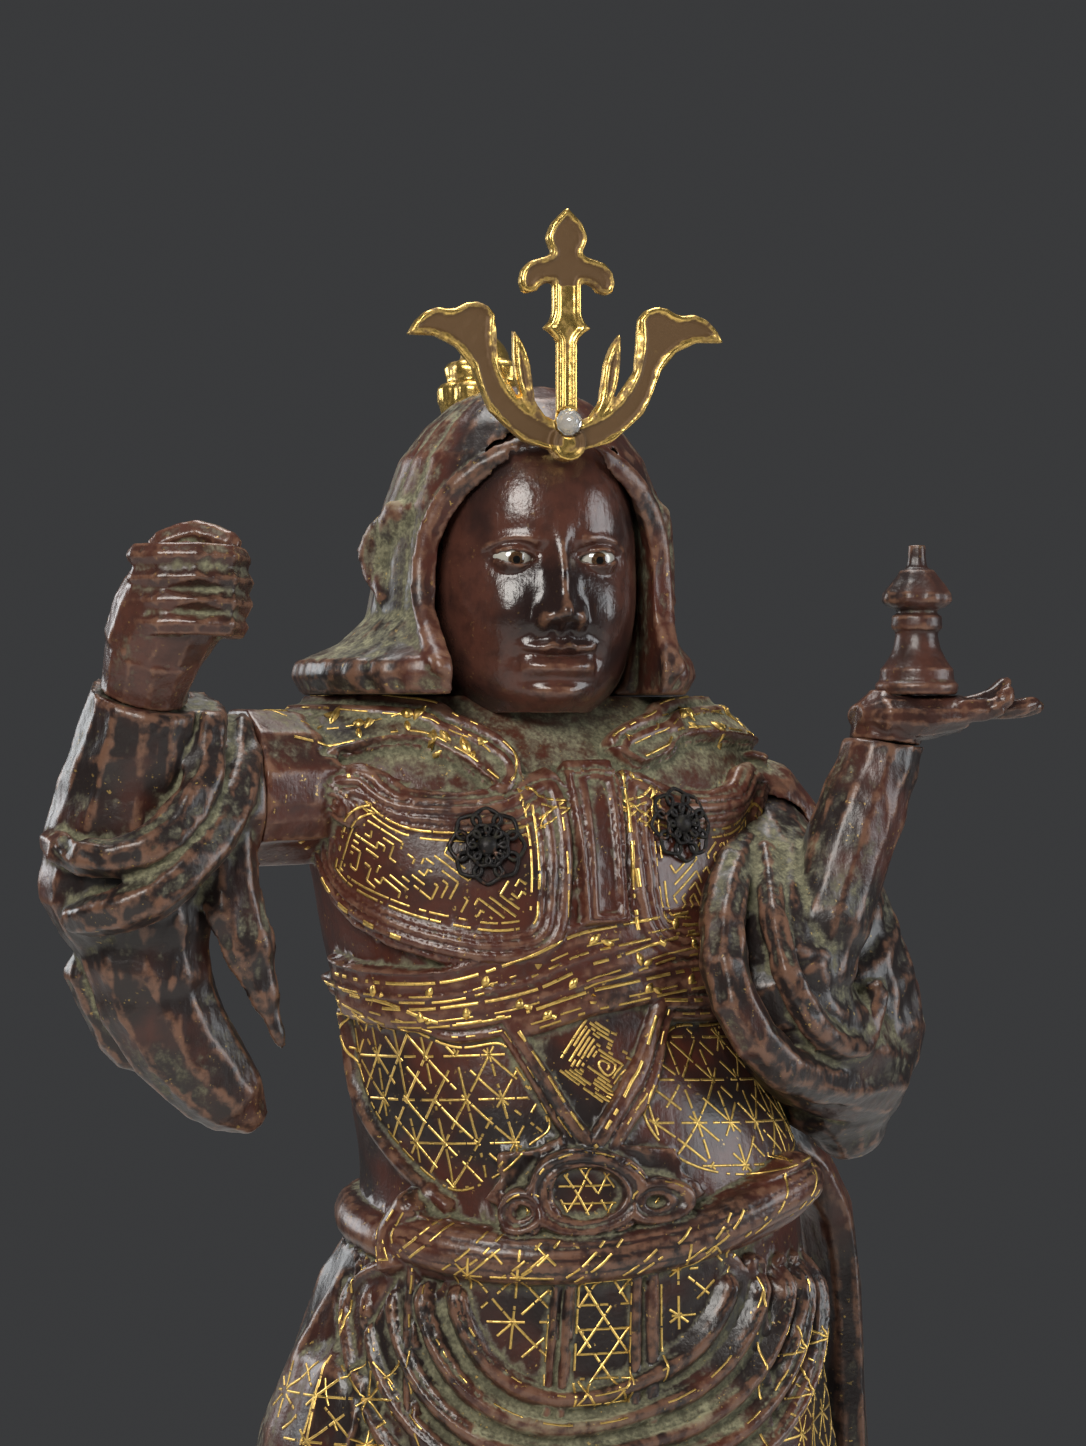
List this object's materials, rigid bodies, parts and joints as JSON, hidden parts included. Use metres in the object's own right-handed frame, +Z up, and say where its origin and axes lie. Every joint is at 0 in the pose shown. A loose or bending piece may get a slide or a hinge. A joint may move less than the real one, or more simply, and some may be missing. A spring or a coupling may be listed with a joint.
{
  "type": "wooden guardian king statue",
  "caption": "Lacquered and gilded wooden guardian king in armour, one fist raised, a small pagoda resting on the other palm, standing on a low rock base.",
  "frame": {"origin": "middle of the flat underside of the base", "axes": "+Z up, the figure faces -Y, its raised fist is on the -X side and the pagoda on the +X side"},
  "size_m": [0.3061, 0.1775, 0.6895],
  "materials": {
    "rockwork": "carved rockwork, dark and dusty",
    "lacquered_wood": "dark red-brown lacquer with cut gold leaf, worn and dusty",
    "skin_lacquer": "glossy dark lacquer, worn",
    "eye_glass": "inlaid painted glass",
    "dusty_wood": "olive dust over old lacquer",
    "gilt_wood": "worn gilding",
    "gilt_metal": "worn gilt openwork metal",
    "crystal": "clear cut stone",
    "dark_metal": "blackened openwork metal",
    "pagoda_wood": "dark turned wood, dusty"
  },
  "bodies": {
    "root": {"plinth": "rockwork", "body": "lacquered_wood", "right_arm": "lacquered_wood", "left_arm": "lacquered_wood", "right_hand": "skin_lacquer", "left_hand": "skin_lacquer", "head": "skin_lacquer", "right_eye": "eye_glass", "left_eye": "eye_glass", "hood": "dusty_wood", "hood_finial": "gilt_wood", "crown": "gilt_metal", "crown_jewel": "crystal", "right_rosette": "dark_metal", "left_rosette": "dark_metal", "pagoda": "pagoda_wood"}
  },
  "joints": []
}
